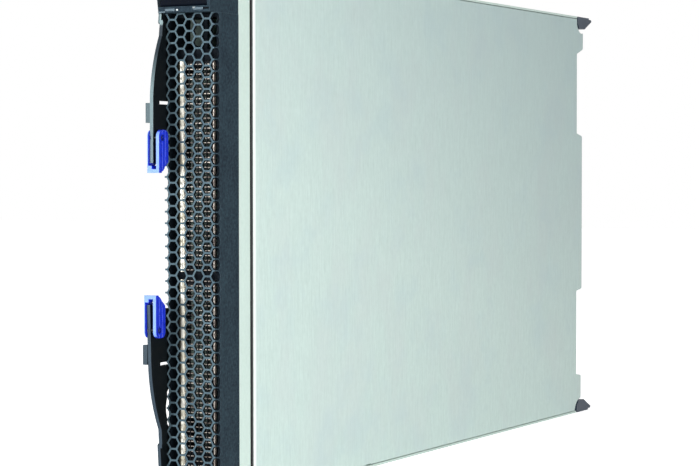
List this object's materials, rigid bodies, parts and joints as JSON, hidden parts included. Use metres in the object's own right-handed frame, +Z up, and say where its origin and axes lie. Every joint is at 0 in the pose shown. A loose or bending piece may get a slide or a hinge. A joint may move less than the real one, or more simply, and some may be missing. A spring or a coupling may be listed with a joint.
{
  "type": "blade server",
  "caption": "Slim blade server with a hinged side cover, honeycomb front bezel, flap-covered control panel and curved ejector levers with touch pads.",
  "frame": {"origin": "centre of the tray's bottom face, which the blade stands on", "axes": "+Y from the front bezel to the rear connectors, +X to the cover side, +Z up to the control panel's end"},
  "size_m": [0.0307, 0.4629, 0.245],
  "materials": {
    "tray_steel": "zinc-plated sheet",
    "cover_steel": "zinc-plated sheet",
    "bezel_plastic": "fine texture",
    "grille_plastic": "satin",
    "flap_plastic": "polished",
    "button_plastic": "satin",
    "clear_plastic": "clear",
    "shield_steel": "bright spring steel",
    "lever_metal": "fine texture",
    "pad_plastic": "satin blue",
    "pin_steel": "turned",
    "latch_plastic": "satin blue",
    "guide_plastic": "satin",
    "circuit_board": "solder mask",
    "drive_casting": "cast",
    "drive_tray_steel": "zinc-plated sheet",
    "connector_plastic": "satin black",
    "spreader_metal": "nickel plated",
    "sink_aluminium": "extruded",
    "memory_board": "solder mask",
    "latch_white": "satin",
    "can_aluminium": "drawn can"
  },
  "bodies": {
    "chassis": {"base_tray": "tray_steel", "bezel_frame": "bezel_plastic", "control_panel_housing": "bezel_plastic", "bezel_grille": "grille_plastic", "light_pipes": "clear_plastic", "upper_emc_shield": "shield_steel", "lower_emc_shield": "shield_steel", "lever_pivot_pins": "pin_steel", "cover_pivot_pins": "pin_steel", "rear_guide_screws": "pin_steel", "bezel_screws": "pin_steel", "board_screws": "pin_steel", "board_standoffs": "pin_steel", "heat_sink_screws": "pin_steel", "upper_rear_guide": "guide_plastic", "lower_rear_guide": "guide_plastic", "system_board": "circuit_board", "control_panel_board": "circuit_board", "lower_drive": "drive_casting", "upper_drive": "drive_casting", "drive_trays": "drive_tray_steel", "drive_connectors": "connector_plastic", "cpu_sockets": "connector_plastic", "memory_slots": "connector_plastic", "expansion_connector": "connector_plastic", "coin_cell_holder": "connector_plastic", "lower_midplane_connector": "connector_plastic", "upper_midplane_connector": "connector_plastic", "power_inductors": "connector_plastic", "board_chips": "connector_plastic", "processors": "spreader_metal", "coin_cell": "spreader_metal", "lower_heat_sink": "sink_aluminium", "upper_heat_sink": "sink_aluminium", "chipset_heat_sink": "sink_aluminium", "memory_modules": "memory_board", "capacitors": "can_aluminium"},
    "cover": {"cover": "cover_steel"},
    "upper_latch": {"upper_cover_latch": "latch_plastic"},
    "lower_latch": {"lower_cover_latch": "latch_plastic"},
    "panel_door": {"control_panel_door": "flap_plastic"},
    "power_key": {"power_button": "button_plastic"},
    "media_key": {"media_select_button": "button_plastic"},
    "console_key": {"console_select_button": "button_plastic"},
    "upper_ejector": {"upper_lever": "lever_metal", "upper_pad_pin": "pin_steel"},
    "lower_ejector": {"lower_lever": "lever_metal", "lower_pad_pin": "pin_steel"},
    "upper_pad": {"upper_touch_pad": "pad_plastic"},
    "lower_pad": {"lower_touch_pad": "pad_plastic"},
    "slot_latch_front_1": {"memory_latch_front_1": "latch_white"},
    "slot_latch_front_2": {"memory_latch_front_2": "latch_white"},
    "slot_latch_front_3": {"memory_latch_front_3": "latch_white"},
    "slot_latch_front_4": {"memory_latch_front_4": "latch_white"},
    "slot_latch_rear_1": {"memory_latch_rear_1": "latch_white"},
    "slot_latch_rear_2": {"memory_latch_rear_2": "latch_white"},
    "slot_latch_rear_3": {"memory_latch_rear_3": "latch_white"},
    "slot_latch_rear_4": {"memory_latch_rear_4": "latch_white"}
  },
  "joints": [
    {"name": "cover_hinge", "type": "hinge", "parent": "chassis", "child": "cover", "pos_m": [0.0105, 0.1952, 0.1225], "axis": [0, 0, 1], "range_deg": [0, 75]},
    {"name": "upper_latch_slide", "type": "slide", "parent": "chassis", "child": "upper_latch", "axis": [0, 0, -1], "range_m": [0, 0.0018], "stiffness_N_per_m": 300, "springref_m": -0.002},
    {"name": "lower_latch_slide", "type": "slide", "parent": "chassis", "child": "lower_latch", "axis": [0, 0, 1], "range_m": [0, 0.0018], "stiffness_N_per_m": 300, "springref_m": -0.002},
    {"name": "panel_door_hinge", "type": "hinge", "parent": "chassis", "child": "panel_door", "pos_m": [0.0009, -0.2258, 0.2248], "axis": [1, 0, 0], "range_deg": [0, 90]},
    {"name": "upper_lever_hinge", "type": "hinge", "parent": "chassis", "child": "upper_ejector", "pos_m": [-0.0137, -0.2138, 0.236], "axis": [-1, 0, 0], "range_deg": [0, 70]},
    {"name": "lower_lever_hinge", "type": "hinge", "parent": "chassis", "child": "lower_ejector", "pos_m": [-0.0137, -0.2138, 0.009], "axis": [1, 0, 0], "range_deg": [0, 70]},
    {"name": "upper_pad_hinge", "type": "hinge", "parent": "upper_ejector", "child": "upper_pad", "pos_m": [-0.0106, -0.2307, 0.1653], "axis": [1, 0, 0], "range_deg": [0, 6], "stiffness_Nm_per_rad": 0.02, "springref_deg": -5.73},
    {"name": "lower_pad_hinge", "type": "hinge", "parent": "lower_ejector", "child": "lower_pad", "pos_m": [-0.0106, -0.2336, 0.0795], "axis": [-1, 0, 0], "range_deg": [0, 6], "stiffness_Nm_per_rad": 0.02, "springref_deg": -5.73},
    {"name": "power_button_press", "type": "slide", "parent": "chassis", "child": "power_key", "axis": [0, 1, 0], "range_m": [0, 0.0006], "stiffness_N_per_m": 600, "springref_m": -0.0005},
    {"name": "media_button_press", "type": "slide", "parent": "chassis", "child": "media_key", "axis": [0, 1, 0], "range_m": [0, 0.0006], "stiffness_N_per_m": 600, "springref_m": -0.0005},
    {"name": "console_button_press", "type": "slide", "parent": "chassis", "child": "console_key", "axis": [0, 1, 0], "range_m": [0, 0.0006], "stiffness_N_per_m": 600, "springref_m": -0.0005},
    {"name": "slot_latch_front_1_hinge", "type": "hinge", "parent": "chassis", "child": "slot_latch_front_1", "pos_m": [-0.0063, 0.0422, 0.09], "axis": [0, 0, -1], "range_deg": [0, 30]},
    {"name": "slot_latch_rear_1_hinge", "type": "hinge", "parent": "chassis", "child": "slot_latch_rear_1", "pos_m": [-0.0063, 0.1732, 0.09], "axis": [0, 0, 1], "range_deg": [0, 30]},
    {"name": "slot_latch_front_2_hinge", "type": "hinge", "parent": "chassis", "child": "slot_latch_front_2", "pos_m": [-0.0063, 0.0422, 0.102], "axis": [0, 0, -1], "range_deg": [0, 30]},
    {"name": "slot_latch_rear_2_hinge", "type": "hinge", "parent": "chassis", "child": "slot_latch_rear_2", "pos_m": [-0.0063, 0.1732, 0.102], "axis": [0, 0, 1], "range_deg": [0, 30]},
    {"name": "slot_latch_front_3_hinge", "type": "hinge", "parent": "chassis", "child": "slot_latch_front_3", "pos_m": [-0.0063, 0.0422, 0.114], "axis": [0, 0, -1], "range_deg": [0, 30]},
    {"name": "slot_latch_rear_3_hinge", "type": "hinge", "parent": "chassis", "child": "slot_latch_rear_3", "pos_m": [-0.0063, 0.1732, 0.114], "axis": [0, 0, 1], "range_deg": [0, 30]},
    {"name": "slot_latch_front_4_hinge", "type": "hinge", "parent": "chassis", "child": "slot_latch_front_4", "pos_m": [-0.0063, 0.0422, 0.126], "axis": [0, 0, -1], "range_deg": [0, 30]},
    {"name": "slot_latch_rear_4_hinge", "type": "hinge", "parent": "chassis", "child": "slot_latch_rear_4", "pos_m": [-0.0063, 0.1732, 0.126], "axis": [0, 0, 1], "range_deg": [0, 30]}
  ]
}
